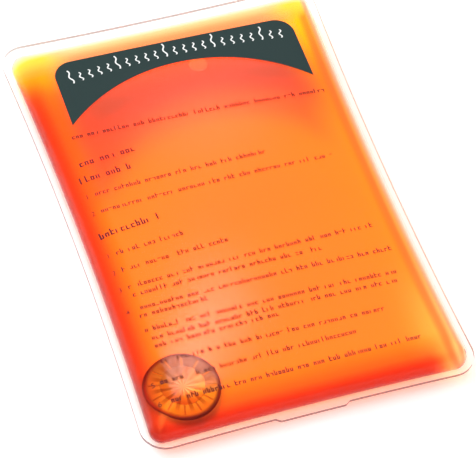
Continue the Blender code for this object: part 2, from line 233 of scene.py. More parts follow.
class WarmerPrint(PropertyGroup):
    """The header panel and the instruction marks."""

    panel_width: length("Panel width", "Header panel across", 71.0)
    panel_x: length("Panel centre", "Middle of the header panel", -0.9)
    panel_top: length("Panel top", "Distance of the panel's top from the header weld", 10.0)
    panel_waist: length("Panel waist", "Height of the panel over its arch", 8.5)
    panel_radius: length("Panel corner radius", "Radius of the panel's upper corners", 5.5)
    arch_radius: length("Arch radius", "Radius of the panel's arched lower edge", 51.7)
    panel_turn: FloatProperty(
        name="Panel turn", description="Turn of the printed panel", default=math.radians(-1.0),
        subtype="ANGLE",
    )
    ink_lift: length("Ink lift", "Gap under a layer of ink", 0.03)
    ink_thickness: length("Ink thickness", "Thickness of a layer of ink", 0.04)
    stroke_pitch: length("Letter pitch", "Distance between letter marks in a line", 1.1)
    stroke_width: length("Stroke width", "Width of a stroke", 0.32)
    stroke_low: length("Low stroke", "Height of a low stroke", 1.0)
    stroke_tall: length("Tall stroke", "Height of a tall stroke", 1.6)
    word_step: number("Word step", "Letter marks from one possible gap between words to the next", 4.0)
    word_gaps: share("Word gaps", "Chance that such a place is a gap", 0.65)
    tall_marks: share("Tall marks", "Chance that a letter mark's first stroke is tall", 0.28)
    letter_reach: number("Letter reach", "Half the distance of a letter mark's strokes to the pitch", 0.23)
    bar_height: number("Bar height", "Height of a cross stroke to a stroke's width", 0.8)
    heading: number("Heading", "Size of a heading's strokes to a line's", 1.35)
    numeral: length("Numeral", "Size of a step's number", 2.1)
    wave_height: length("Wave height", "Height of the header's tall wave strokes", 5.0)
    wave_width: length("Wave width", "Width of a wave stroke", 0.42)
    wave_pitch: length("Wave pitch", "Distance between wave strokes", 2.8)
    wave_turns: number("Wave turns", "Whole waves in a stroke", 1.5)
    wave_swing: number("Wave swing", "Sideways swing to a stroke's width", 0.8)
    wave_group: number("Wave group", "Wave strokes from one tall one to the next", 5.0)
    wave_low: share("Low waves", "How much lower the others are", 0.38)
    wave_reach: length("Wave reach", "Half the width of the row of wave strokes", 31.0)
    wave_sag: length("Wave sag", "How much lower the row's ends are than its middle", 2.0)
    wave_foot: length("Wave foot", "Distance of the row's middle from the header weld", 15.6)
    slate: colour("Slate", "Colour of the header panel", (0.014, 0.034, 0.033))
    mark: colour("Mark ink", "Colour of the instruction marks", (0.10, 0.012, 0.018))
    mark_cover: share("Mark cover", "How much the mark ink covers", 1.0)
    white: colour("White ink", "Colour of the wave strokes", (0.85, 0.87, 0.86))
    seed: IntProperty(name="Seed", description="Seed of the strokes and the word gaps", default=7)


class WarmerDisc(PropertyGroup):
    """The clicker disc."""

    diameter: length("Diameter", "Over the disc's lip", 20.0)
    thickness: length("Thickness", "Of the sheet", 0.3)
    lip_drop: length("Lip drop", "How far the lip turns down", 0.35)
    lip_width: length("Lip width", "Width of the turned-down lip", 0.7)
    dome_diameter: length("Dome diameter", "Of the snap dome", 12.0)
    dome_depth: length("Dome depth", "How far the dome bulges down", 0.9)
    dome_gap: length("Dome gap", "Between the dome and the rim as it shows", 0.04)
    slots: IntProperty(name="Slots", description="Radial slots", default=12)
    slot_width: length("Slot width", "Width of a slot", 0.45)
    slot_end: length("Slot end", "Distance of a slot's end from the edge", 1.1)
    crease: length("Crease", "Depth of the dome's radial creases", 0.12)
    # Painted light towards the fill end and painted shade towards the header
    bright: colour("Bright steel", "Steel towards the fill end", (1.0, 0.98, 0.70))
    shaded_steel: colour("Dim steel", "Steel towards the header", (0.50, 0.40, 0.46))
    # Painted highlight: a bright arc on the rim at the fill end
    crescent_highlight: colour("Crescent", "Bright arc of the rim at the fill end", (1.0, 1.0, 0.45))
    # Painted shade in radial streaks along the dome's creases
    ray: colour("Ray", "Rays round the dome", (0.46, 0.26, 0.18))
    # Painted shade: a darker ring round the disc's edge
    edge: colour("Edge", "Heat-tinted edge", (0.34, 0.15, 0.14))
    roughness: share("Steel roughness", "Roughness of the steel", 0.4)
    ray_strength: share("Ray strength", "How far the rays change the steel", 0.7)
    # Direction of the painted shade over the steel
    lean: pair("Lean", "Direction across and along in which the steel gets darker", 0.45, 0.9)
    dim_up: pair("Dim from", "Shares of the radius, along the lean", -0.3, 0.6)
    crescent_up: pair("Crescent from", "Shares of the radius, along the lean", -0.4, -0.72)
    crescent_out: pair("Crescent out", "Shares of the radius, from the middle", 0.66, 0.82)
    ray_width: pair("Ray width", "Cosines in a slot's turn", 0.2, 0.9)
    ray_start: pair("Ray start", "Shares of the radius, from the middle", 0.15, 0.35)
    ray_end: pair("Ray end", "Shares of the radius, from the middle", 0.9, 0.65)
    edge_out: pair("Edge from", "Shares of the radius, from the middle", 0.86, 0.97)


class WarmerStage(PropertyGroup):
    """Table, lights and camera."""

    floor: share("Floor", "Brightness of the table", 0.95)
    seen_white: share("Seen white", "Added white of the table as the camera sees it", 0.12)
    see_through: share("Seen through", "Added white of the table where it shows through the liquid", 0.35)
    lens: number("Lens", "Focal length in millimetres", 234.2)
    sky: share("Sky", "Brightness of the white room", 0.65)
    lamp: number("Lamp", "Power of the soft lamp", 12.0)
    lamp_size: number("Lamp size", "Width of the soft lamp", 1.0)
    mirrored: share("Mirrored room", "Brightness of the room in gloss", 0.35)


def settings(name):
    return getattr(bpy.context.scene, "warmer_" + name)


class Value:
    """A node's output. Arithmetic on it adds Math nodes to its tree."""

    def __init__(self, nodes, socket):
        self.nodes = nodes
        self.socket = socket

    def math(self, operation, *others):
        values = dict(enumerate((self,) + others))
        return self.nodes.add("ShaderNodeMath", {"operation": operation}, values)

    def __add__(self, other):
        return self.math("ADD", other)

    def __sub__(self, other):
        return self.math("SUBTRACT", other)

    def __mul__(self, other):
        return self.math("MULTIPLY", other)

    def __truediv__(self, other):
        return self.math("DIVIDE", other)

    def __rsub__(self, other):
        return (self * -1.0).math("ADD", other)

    __radd__ = __add__
    __rmul__ = __mul__

    def larger(self, other):
        return self.math("MAXIMUM", other)

    def eased(self, start, end):
        """0 where the value is at the start, 1 at the end, with a smooth change between."""
        values = {"Value": self, "From Min": start, "From Max": end}
        return self.nodes.add("ShaderNodeMapRange", {"interpolation_type": "SMOOTHSTEP"}, values)


class Nodes:
    """Adds nodes to a tree and links them."""

    def __init__(self, tree):
        self.tree = tree
        tree.nodes.clear()

    def add(self, kind, options=None, values=None, output=0):
        node = self.tree.nodes.new(kind)
        for key, value in (options or {}).items():
            setattr(node, key, value)
        for key, value in (values or {}).items():
            if isinstance(value, Value):
                self.tree.links.new(value.socket, node.inputs[key])
            else:
                node.inputs[key].default_value = value
        return Value(self, node.outputs[output]) if node.outputs else node

    def other(self, value, output):
        """Another output of the node that a value comes from."""
        return Value(self, value.socket.node.outputs[output])

    def coordinates(self, scale=1.0, offset=(0.0, 0.0, 0.0)):
        place = self.add("ShaderNodeTexCoord", output="Object")
        size = (scale, scale, scale)
        return self.add("ShaderNodeMapping", values={"Vector": place, "Location": offset, "Scale": size})

    def axes(self, vector):
        split = self.add("ShaderNodeSeparateXYZ", values={"Vector": vector}, output="X")
        return split, self.other(split, "Y"), self.other(split, "Z")

    def joined(self, *pieces):
        join = self.add("GeometryNodeJoinGeometry")
        for piece in pieces:
            self.tree.links.new(piece.socket, join.socket.node.inputs[0])
        return join

    def points_along(self, edges, pitch):
        """Evenly spaced points on edges, and the rotation that turns +X along them."""
        curve = self.add("GeometryNodeMeshToCurve", values={"Mesh": edges})
        points = self.add("GeometryNodeResampleCurve", {"mode": "LENGTH"}, {"Curve": curve, "Length": pitch})
        tangent = self.add("GeometryNodeInputTangent")
        turn = {"axis": "X", "pivot_axis": "Z"}
        return points, self.add("FunctionNodeAlignRotationToVector", turn, {"Vector": tangent})

    def printed(self, flat, given):
        """The tree's end: flat geometry as a layer of ink on the film's outer face."""
        solid = self.add("GeometryNodeRealizeInstances", values={"Geometry": flat})
        x, y, z = self.axes(self.add("GeometryNodeInputPosition"))
        above = self.add("ShaderNodeCombineXYZ", values={"X": x, "Y": y, "Z": 1.0})
        film = self.add("GeometryNodeObjectInfo", values={"Object": given["Film"]}, output="Geometry")
        down = self.add("GeometryNodeRaycast", values={
            "Target Geometry": film, "Source Position": above, "Ray Direction": (0.0, 0.0, -1.0),
        }, output="Hit Position")
        rise = self.add("ShaderNodeCombineXYZ", values={"X": 0.0, "Y": 0.0, "Z": z + given["Lift"]})
        place = self.add("ShaderNodeVectorMath", {"operation": "ADD"}, {0: down, 1: rise})
        laid = self.add("GeometryNodeSetPosition", values={"Geometry": solid, "Position": place})
        inked = self.add("GeometryNodeSetMaterial", values={"Geometry": laid, "Material": given["Ink"]})
        self.add("NodeGroupOutput", values={"Geometry": inked})

    def mix_colour(self, factor, first, second):
        mixed = self.add("ShaderNodeMix", {"data_type": "RGBA"})
        node = mixed.socket.node
        for place, value in ((MIX_FACTOR, factor), (MIX_FIRST, first), (MIX_SECOND, second)):
            if isinstance(value, Value):
                self.tree.links.new(value.socket, node.inputs[place])
            else:
                node.inputs[place].default_value = value
        return Value(self, node.outputs[MIX_RESULT])


def new_material(name):
    material = bpy.data.materials.new(name)
    material.use_nodes = True
    return material, Nodes(material.node_tree)


def rgba(value):
    return (*value, 1.0)


class PouchPlaces:
    """Distances on the pouch, in millimetres, as values for its materials' masks."""

    def __init__(self, nodes):
        pouch = settings("pouch")
        x, y, z = nodes.axes(nodes.coordinates(scale=1 / MM))
        half_width, half_length = pouch.width / 2 / MM, pouch.length / 2 / MM
        self.x, self.y, self.z = x, y, z
        self.side = half_width - (pouch.flange_side + pouch.side_draw_in) / MM
        self.header_weld = half_length - pouch.flange_header / MM
        bow = y * y * (pouch.side_draw_in / MM / half_length**2)
        self.left = x + bow + self.side
        self.right = bow - x + self.side
        self.fill_end = y + (half_length - (pouch.flange_fill + pouch.end_draw_in) / MM)
        self.header_end = self.header_weld - pouch.end_draw_in / MM - y

    def out_from(self, x, y):
        """Distance from the upright line through a place."""
        across, along = self.x - x, self.y - y
        return (across * across + along * along).math("SQRT")


def panel_shade(at, gel):
    """The coral shade that the header panel throws below its arch."""
    ink = settings("print")
    arch = ink.arch_radius / MM
    centre_x = ink.panel_x / MM + gel.shade_shift
    centre_y = at.header_weld - (ink.panel_top + ink.panel_waist) / MM - arch
    arch_start, arch_end = gel.shade_arch
    side_start, side_end = gel.shade_side
    shade = at.out_from(centre_x, centre_y).eased(arch + arch_start, arch + arch_end)
    shade = shade * (at.y - centre_y).eased(*gel.shade_foot)
    return shade * at.x.math("ABSOLUTE").eased(at.side - side_start, at.side - side_end)


def gel_colour_with_painted_light(nodes):
    """The liquid's colour by place: its orange body, with painted shadow, painted light, painted shade,
    painted highlights and pale thin edges laid over it, each over the ones before it.
    """
    gel = settings("gel")
    at = PouchPlaces(nodes)
    ends_start, ends_end = gel.top_ends
    top_ends = at.x.math("ABSOLUTE").eased(at.side - ends_start, at.side - ends_end)
    # Painted light: yellow in the header end's corners and paler at its middle, and a painted highlight in the
    # right fill corner
    top_corner_light = at.right.eased(*gel.top_corner_x) * at.header_end.eased(*gel.top_corner_y)
    fill_corner_highlight = at.right.eased(*gel.fill_corner_x) * at.fill_end.eased(*gel.fill_corner_y)
    bright = (at.header_end.eased(*gel.top_bright) * top_ends).larger(top_corner_light)
    peach_light = (at.header_end.eased(*gel.top_peach) * (1.0 - top_ends)).larger(fill_corner_highlight)
    # Painted shade: deeper red at the left and the fill end, darkest at the fill end's weld
    fill_end_shade = at.fill_end.eased(*gel.deep_fill) * at.right.eased(*gel.deep_right)
    deep = at.left.eased(*gel.deep_left).larger(fill_end_shade) * at.header_end.eased(*gel.deep_top)
    darkest_shade = at.fill_end.eased(*gel.dark_fill) * at.right.eased(*gel.dark_right)
    # Painted highlight along the corner's ridge, on the upper skin only
    ridge = (at.left - at.fill_end).math("ABSOLUTE").eased(*gel.ridge_width) * at.z.eased(*gel.ridge_height)
    ridge = ridge * at.left.eased(*gel.ridge_start) * at.left.eased(*gel.ridge_end)
    pale = at.header_end.eased(*gel.top_pale).larger(at.right.eased(*gel.pale_right))
    from_bubble = at.out_from(gel.bubble_x / MM, at.header_weld - gel.bubble_y / MM)
    layers = (
        (panel_shade(at, gel), gel.shaded),
        (bright, gel.bright),
        (peach_light, gel.peach_light),
        (deep, gel.deep),
        (darkest_shade, gel.darkest_shade),
        (ridge, gel.ridge),
        # Painted shade with a pink sheen at the right edge
        (at.right.eased(*gel.coral_right), gel.coral),
        (pale, (1.0, 1.0, 1.0)),
        (from_bubble.eased(*gel.bubble_rim) * at.z.eased(*gel.bubble_height), gel.bubble),
    )
    tone_with_painted_light = rgba(gel.body)
    for mask, tone in layers:
        tone_with_painted_light = nodes.mix_colour(mask, tone_with_painted_light, rgba(tone))
    return tone_with_painted_light


def gel_material():
    """Clear orange liquid round an absorbing volume. Lamps shine through it onto the table."""
    gel = settings("gel")
    material, nodes = new_material("warmer_gel")
    surface = nodes.add("ShaderNodeBsdfPrincipled", values={
        "Base Color": gel_colour_with_painted_light(nodes),
        "Roughness": gel.roughness,
        "IOR": gel.ior,
        "Transmission Weight": 1.0,
    })
    lit_through = nodes.add("ShaderNodeBsdfTransparent", values={"Color": rgba(gel.body)})
    for_lamps = nodes.add("ShaderNodeLightPath", output="Is Shadow Ray")
    mixed = nodes.add("ShaderNodeMixShader", values={0: for_lamps, 1: surface, 2: lit_through})
    absorbed = {"Color": rgba(gel.tint), "Density": gel.density}
    volume = nodes.add("ShaderNodeVolumeAbsorption", values=absorbed)
    nodes.add("ShaderNodeOutputMaterial", values={"Surface": mixed, "Volume": volume})
    return material


def film_material():
    """Clear film: seen through, with a soft gloss that grows towards the grazing angles."""
    pouch = settings("pouch")
    material, nodes = new_material("warmer_film")
    clear = nodes.add("ShaderNodeBsdfTransparent", values={"Color": (1.0, 1.0, 1.0, 1.0)})
    gloss = nodes.add("ShaderNodeBsdfPrincipled", values={
        "Base Color": (1.0, 1.0, 1.0, 1.0), "Metallic": 1.0, "Roughness": pouch.gloss_roughness,
    })
    facing = nodes.add("ShaderNodeLayerWeight", values={"Blend": 0.5}, output="Facing")
    mirrored = facing.math("POWER", SCHLICK_POWER) * (1.0 - pouch.gloss) + pouch.gloss
    mixed = nodes.add("ShaderNodeMixShader", values={0: mirrored, 1: clear, 2: gloss})
    nodes.add("ShaderNodeOutputMaterial", values={"Surface": mixed})
    return material


def cut_edge_material():
    """The film's cut edge: almost clear, with painted rose-brown shade from the liquid's red light at the left
    and the fill end.
    """
    pouch = settings("pouch")
    material, nodes = new_material("warmer_cut_edge")
    x, y, z = nodes.axes(nodes.coordinates(scale=1 / MM))
    # Painted shade: where the cut edge takes the rose-brown
    tinted = x.eased(*pouch.edge_left).larger(y.eased(*pouch.edge_fill)) * y.eased(*pouch.edge_header)
    tone = nodes.mix_colour(tinted, rgba(pouch.edge_clear), rgba(pouch.edge_shade))
    surface = nodes.add("ShaderNodeBsdfPrincipled", values={"Base Color": tone, "Roughness": 0.4})
    nodes.add("ShaderNodeOutputMaterial", values={"Surface": surface})
    return material


def slate_material():
    ink = settings("print")
    material, nodes = new_material("warmer_slate_ink")
    surface = nodes.add("ShaderNodeBsdfPrincipled", values={
        "Base Color": rgba(ink.slate), "Roughness": 0.35, "Specular IOR Level": 0.3,
    })
    nodes.add("ShaderNodeOutputMaterial", values={"Surface": surface})
    return material


def mark_material():
    ink = settings("print")
    material, nodes = new_material("warmer_mark_ink")
    surface = nodes.add("ShaderNodeBsdfPrincipled", values={
        "Base Color": rgba(ink.mark), "Roughness": 0.5, "Alpha": ink.mark_cover,
    })
    nodes.add("ShaderNodeOutputMaterial", values={"Surface": surface})
    return material


def white_ink_material():
    material, nodes = new_material("warmer_white_ink")
    surface = nodes.add("ShaderNodeBsdfPrincipled", values={
        "Base Color": rgba(settings("print").white), "Roughness": 0.4,
    })
    nodes.add("ShaderNodeOutputMaterial", values={"Surface": surface})
    return material


def steel_material(centre):
    """Spring steel, coloured mostly with painted light and shade: lighter towards the fill end, darker towards
    the header, a painted highlight arc on the rim at the fill end, painted shade in radial streaks round its
    middle and painted shade darkening its edge.

    Its places are shares of the disc's radius.
    """
    material, nodes = new_material("warmer_disc_steel")
    disc = settings("disc")
    offset = [-value / disc.diameter * 2 for value in centre]
    x, y, z = nodes.axes(nodes.coordinates(scale=2 / disc.diameter, offset=offset))
    radius = (x * x + y * y).math("SQRT")
    # Painted light and shade: lighter towards the fill end, darker along the given direction
    lean_x, lean_y = disc.lean
    up = x * lean_x + y * lean_y
    # Painted shade in radial streaks along the dome's creases
    rays = (y.math("ARCTAN2", x) * disc.slots).math("COSINE").eased(*disc.ray_width)
    rays = rays * radius.eased(*disc.ray_start) * radius.eased(*disc.ray_end)
    # Painted highlight arc on the rim
    crescent_highlight = up.eased(*disc.crescent_up) * radius.eased(*disc.crescent_out)
    tone = nodes.mix_colour(up.eased(*disc.dim_up), rgba(disc.bright), rgba(disc.shaded_steel))
    tone = nodes.mix_colour(crescent_highlight, tone, rgba(disc.crescent_highlight))
    tone = nodes.mix_colour(rays * disc.ray_strength, tone, rgba(disc.ray))
    # Painted shade darkening the disc's edge
    tone = nodes.mix_colour(radius.eased(*disc.edge_out), tone, rgba(disc.edge))
    surface = nodes.add("ShaderNodeBsdfPrincipled", values={
        "Base Color": tone, "Metallic": 1.0, "Roughness": disc.roughness,
    })
    nodes.add("ShaderNodeOutputMaterial", values={"Surface": surface})
    return material


def floor_material():
    """A pale table that the camera sees near full white, also through the liquid, with its shadows."""
    stage = settings("stage")
    material, nodes = new_material("table_white")
    path = nodes.add("ShaderNodeLightPath", output="Is Camera Ray")
    through = nodes.other(path, "Is Transmission Ray")
    tone = nodes.mix_colour(path, (stage.floor,) * 3 + (1.0,), (1.0, 1.0, 1.0, 1.0))
    matt = nodes.add("ShaderNodeBsdfDiffuse", values={"Color": tone})
    added = path * stage.seen_white + through * stage.see_through
    white = nodes.add("ShaderNodeEmission", values={"Strength": added})
    surface = nodes.add("ShaderNodeAddShader", values={0: matt, 1: white})
    nodes.add("ShaderNodeOutputMaterial", values={"Surface": surface})
    return material


def mesh_from(name, build):
    """A new mesh from a function that fills a bmesh."""
    mesh = bpy.data.meshes.new(name)
    bm = bmesh.new()
    build(bm)
    bm.to_mesh(mesh)
    bm.free()
    mesh.shade_smooth()
    mesh.set_sharp_from_angle(angle=SHARP_ANGLE)
    return mesh


def new_piece(name, mesh, *materials):
    thing = bpy.data.objects.new(name, mesh)
    bpy.context.scene.collection.objects.link(thing)
    for material in materials:
        mesh.materials.append(material)
    return thing


def context_graph():
    return bpy.context.evaluated_depsgraph_get()


def made_plain(thing):
    """The object with its modifiers turned into a plain mesh."""
    evaluated = thing.evaluated_get(context_graph())
    mesh = bpy.data.meshes.new_from_object(evaluated)
    mesh.set_sharp_from_angle(angle=SHARP_ANGLE)
    mesh.name = thing.name
    thing.modifiers.clear()
    thing.data = mesh
    return thing


def node_group(name, sockets):
    """A Geometry Nodes tree with a Geometry input and output and the named inputs."""
    tree = bpy.data.node_groups.new(name, "GeometryNodeTree")
    tree.interface.new_socket("Geometry", in_out="INPUT", socket_type="NodeSocketGeometry")
    for socket, kind in sockets.items():
        tree.interface.new_socket(socket, in_out="INPUT", socket_type="NodeSocket" + kind)
    tree.interface.new_socket("Geometry", in_out="OUTPUT", socket_type="NodeSocketGeometry")
    return tree, Nodes(tree)


def grown(thing, tree, values):
    """The object with a tree's result as its mesh. Values go to the inputs with their names."""
    modifier = thing.modifiers.new(tree.name, "NODES")
    modifier.node_group = tree
    for item in tree.interface.items_tree:
        if item.in_out == "INPUT" and item.name in values:
            modifier[item.identifier] = values[item.name]
    return made_plain(thing)


def stroke_tree():
    """Rows of letter-like marks of one to four strokes along edges, with gaps, laid on a film."""
    sockets = {
        "Pitch": "Float", "Width": "Float", "Low": "Float", "Tall": "Float", "Thickness": "Float",
        "Word Step": "Float", "Gaps": "Float", "Talls": "Float", "Reach": "Float", "Bar": "Float",
        "Lift": "Float", "Seed": "Int", "Film": "Object", "Ink": "Material",
    }
    tree, nodes = node_group("print_strokes", sockets)
    edges = nodes.add("NodeGroupInput")
    given = {name: nodes.other(edges, name) for name in sockets}
    points, along = nodes.points_along(edges, given["Pitch"])
    index = nodes.add("GeometryNodeInputIndex")

    def chance(probability, draw):
        values = {"Probability": probability, "ID": index, "Seed": given["Seed"] + draw}
        return nodes.add("FunctionNodeRandomValue", {"data_type": "BOOLEAN"}, values, output=YES_OR_NO)

    stepped = index.math("FLOORED_MODULO", given["Word Step"]).math("LESS_THAN", 0.5)
    kept = 1.0 - stepped * chance(given["Gaps"], 0)

    def placed(width, height, shift, foot, draw, probability, tallness=1.0):
        size = nodes.add("ShaderNodeCombineXYZ", values={"X": width, "Y": height, "Z": given["Thickness"]})
        block = nodes.add("GeometryNodeMeshCube", values={"Size": size})
        move = nodes.add("ShaderNodeCombineXYZ", values={"X": shift, "Y": foot + height * 0.5, "Z": 0.0})
        block = nodes.add("GeometryNodeTransform", values={"Geometry": block, "Translation": move})
        scale = nodes.add("ShaderNodeCombineXYZ", values={"X": 1.0, "Y": tallness, "Z": 1.0})
        there = kept * chance(probability, draw)
        return nodes.add("GeometryNodeInstanceOnPoints", values={
            "Points": points, "Selection": there, "Instance": block, "Rotation": along, "Scale": scale,
        })

    reach = given["Pitch"] * given["Reach"]
    bar = given["Width"] * given["Bar"]
    tallness = (given["Tall"] / given["Low"] - 1.0) * chance(given["Talls"], 1) + 1.0
    across = reach * 2.0 + given["Width"]
    first, second, high, foot = STROKE_CHANCES
    letters = nodes.joined(
        placed(given["Width"], given["Low"], reach * -1.0, 0.0, 2, first, tallness),
        placed(given["Width"], given["Low"], reach, 0.0, 3, second),
        placed(across, bar, 0.0, given["Low"] - bar, 4, high),
        placed(across, bar, 0.0, 0.0, 5, foot),
    )
    nodes.printed(letters, given)
    return tree


def wave_tree():
    """Upright wavy strokes along edges, one tall in each group, laid on a film."""
    sockets = {
        "Pitch": "Float", "Height": "Float", "Width": "Float", "Thickness": "Float", "Lift": "Float",
        "Turns": "Float", "Swing": "Float", "Group": "Float", "Drop": "Float", "Film": "Object",
        "Ink": "Material",
    }
    tree, nodes = node_group("print_waves", sockets)
    edges = nodes.add("NodeGroupInput")
    given = {name: nodes.other(edges, name) for name in sockets}
    points, along = nodes.points_along(edges, given["Pitch"])
    top = nodes.add("ShaderNodeCombineXYZ", values={"X": 0.0, "Y": given["Height"], "Z": 0.0})
    stem = nodes.add("GeometryNodeCurvePrimitiveLine", values={"Start": (0.0, 0.0, 0.0), "End": top})
    stem = nodes.add("GeometryNodeResampleCurve", values={"Curve": stem, "Count": WAVE_POINTS})
    x, y, z = nodes.axes(nodes.add("GeometryNodeInputPosition"))
    swing = (y / given["Height"] * math.tau * given["Turns"]).math("SINE") * given["Width"] * given["Swing"]
    sway = nodes.add("ShaderNodeCombineXYZ", values={"X": swing, "Y": 0.0, "Z": 0.0})
    stem = nodes.add("GeometryNodeSetPosition", values={"Geometry": stem, "Offset": sway})
    ring = nodes.add("GeometryNodeCurvePrimitiveCircle", values={
        "Resolution": WAVE_SIDES, "Radius": given["Width"] * 0.5,
    })
    stroke = nodes.add("GeometryNodeCurveToMesh", values={
        "Curve": stem, "Profile Curve": ring, "Fill Caps": True,
    })
    flatness = given["Thickness"] / given["Width"]
    flat = nodes.add("ShaderNodeCombineXYZ", values={"X": 1.0, "Y": 1.0, "Z": flatness})
    stroke = nodes.add("GeometryNodeTransform", values={"Geometry": stroke, "Scale": flat})
    index = nodes.add("GeometryNodeInputIndex")
    low = index.math("FLOORED_MODULO", given["Group"]).math("GREATER_THAN", 0.5)
    size = nodes.add("ShaderNodeCombineXYZ", values={"X": 1.0, "Y": 1.0 - low * given["Drop"], "Z": 1.0})
    waves = nodes.add("GeometryNodeInstanceOnPoints", values={
        "Points": points, "Instance": stroke, "Rotation": along, "Scale": size,
    })
    nodes.printed(waves, given)
    return tree


def line_edges(name, lines):
    """A mesh of straight edges from pairs of places in millimetres."""

    def build(bm):
        for ends in lines:
            bm.edges.new([bm.verts.new((x * MM, y * MM, 0)) for x, y in ends])

    return mesh_from(name, build)


class Line:
    """A grid line of the pouch: its place, and its inset from the weld (negative on the flange)."""

    def __init__(self, place, inset):
        self.place = place
        self.inset = inset


class PouchForm:
    """The filled pouch as a fine grid whose rings are round at the corners."""

    RIM_STEPS = 18
    ACROSS = 40
    ALONG = 60
    RIDGE_POWER = 5.0

    def __init__(self):
        pouch = settings("pouch")
        self.pouch = pouch
        self.half_width = pouch.width / 2
        self.half_length = pouch.length / 2
        self.weld_half = self.half_width - pouch.flange_side
        self.weld_top = self.half_length - pouch.flange_header
        self.weld_bottom = -self.half_length + pouch.flange_fill
        self.belly_depth = pouch.weld_height - pouch.weld_gap / 2 - pouch.film
        sides = (pouch.flange_side, pouch.flange_side)
        ends = (pouch.flange_fill, pouch.flange_header)
        self.lines_x = self.grid_lines(-self.weld_half, self.weld_half, *sides, self.ACROSS, self.port_lines())
        self.lines_y = self.grid_lines(self.weld_bottom, self.weld_top, *ends, self.ALONG)

    def port_lines(self):
        pouch = self.pouch
        half = pouch.port_length / 2
        ends = (half, half - pouch.port_step)
        return [pouch.port_x - end for end in ends] + [pouch.port_x + end for end in ends]

    def grid_lines(self, low, high, flange_low, flange_high, middle, extra=()):
        """Lines from cut edge to cut edge: flange, rim, middle, rim, flange."""
        rim = self.pouch.rim_width
        insets = [rim * (1 - math.cos(math.pi / 2 * k / self.RIM_STEPS)) for k in range(self.RIM_STEPS + 1)]
        step = (high - low - 2 * rim) / (middle + 1)
        places = sorted([low + rim + step * k for k in range(1, middle + 1)] + list(extra))
        lines = [Line(low - flange_low, -flange_low)]
        lines += [Line(low + inset, inset) for inset in insets]
        lines += [Line(place, min(place - low, high - place)) for place in places]
        lines += [Line(high - inset, inset) for inset in reversed(insets)]
        lines += [Line(high + flange_high, -flange_high)]
        return lines

    def outline_edge(self, lines, inset, sign):
        if inset < 0:
            return lines[0].place if sign < 0 else lines[-1].place
        return lines[1].place + inset if sign < 0 else lines[-2].place - inset

    def rounded(self, across, along):
        """The place of a grid crossing once its square ring has round corners."""
        inset = min(across.inset, along.inset)
        radius = self.pouch.cut_radius if inset < 0 else max(self.pouch.weld_radius - inset, 0.0)
        sign_x = 1 if across.place > 0 else -1
        sign_y = 1 if along.place > (self.weld_top + self.weld_bottom) / 2 else -1
        edge_x = self.outline_edge(self.lines_x, inset, sign_x)
        edge_y = self.outline_edge(self.lines_y, inset, sign_y)
        from_corner = max(abs(edge_x - across.place), abs(edge_y - along.place))
        if from_corner >= radius:
            return across.place, along.place
        turn = math.radians(45) * (1 - from_corner / radius)
        if across.inset > along.inset:
            turn = math.radians(90) - turn
        return (
            edge_x - sign_x * radius * (1 - math.cos(turn)),
            edge_y - sign_y * radius * (1 - math.sin(turn)),
        )

    def drawn_in(self, x, y):
        """The sides and ends pull in between the corners as the pouch fills."""
        share_x, share_y = x / self.half_width, y / self.half_length
        return (
            x - self.pouch.side_draw_in * share_x * (1 - share_y**2),
            y - self.pouch.end_draw_in * share_y * (1 - share_x**2),
        )

    def port_bulge(self, x):
        reach = self.pouch.port_length / 2 - abs(x - self.pouch.port_x)
        return self.pouch.port_proud * min(max(reach / self.pouch.port_step, 0.0), 1.0)

    def soft_inset(self, across, along):
        if min(across, along) <= 0:
            return 0.0
        power = self.RIDGE_POWER
        return (across**-power + along**-power) ** (-1 / power)

    def rim_profile(self, inset, width, power):
        left = 1 - min(inset / width, 1.0)
        return (1 - left**power) ** (1 / power)

    def front_rise(self, across, along):
        pouch = self.pouch
        share_x = across.place / self.weld_half
        share_y = along.place / self.weld_top
        crown = pouch.crown_rise * max(1 - share_x**2, 0.0) * max(1 - share_y**2, 0.0)
        drop = pouch.header_drop * max(share_y, 0.0) ** 2
        inset = self.soft_inset(across.inset, along.inset)
        profile = self.rim_profile(inset, pouch.rim_width, pouch.front_power)
        return profile * (pouch.rim_rise - drop) + crown

    def back_fall(self, across, along):
        pouch = self.pouch
        inset = self.soft_inset(across.inset, along.inset)
        profile = self.rim_profile(inset, pouch.belly_rim, pouch.back_power)
        return min(profile * (self.belly_depth + pouch.flat_cut), self.belly_depth)

    def sheet(self, bm, side, with_flange=True):
        """An open sheet, the inner face of the front (+1) or the back (-1) film, facing out."""
        first = 0 if with_flange else 1
        lines_x = self.lines_x[first:len(self.lines_x) - first]
        lines_y = self.lines_y[first:len(self.lines_y) - first]
        pouch = self.pouch
        height = self.front_rise if side > 0 else self.back_fall
        rows = []
        for along in lines_y:
            row = []
            for across in lines_x:
                x, y = self.drawn_in(*self.rounded(across, along))
                if along is self.lines_y[0]:
                    y -= self.port_bulge(x)
                z = pouch.weld_height + side * (pouch.weld_gap / 2 + height(across, along))
                row.append(bm.verts.new((x, y, z)))
            rows.append(row)
        for low, high in zip(rows, rows[1:]):
            for k in range(len(low) - 1):
                corners = (low[k], low[k + 1], high[k + 1], high[k])
                bm.faces.new(corners if side > 0 else corners[::-1])
        bm.normal_update()
        return [vertex for row in rows for vertex in row]


def gel_mesh(form):
    """The liquid: both sheets moved in a little and closed on the weld plane."""
    pouch = settings("pouch")

    def build(bm):
        for side in (1, -1):
            made = form.sheet(bm, side, with_flange=False)
            seam = [vertex for vertex in made if vertex.is_boundary]
            moves = [(vertex, vertex.normal * -pouch.gel_inset) for vertex in made]
            for vertex, move in moves:
                vertex.co += move
            for vertex in seam:
                vertex.co.z = pouch.weld_height
        bmesh.ops.remove_doubles(bm, verts=bm.verts, dist=0.001 * MM)

    return mesh_from("gel", build)


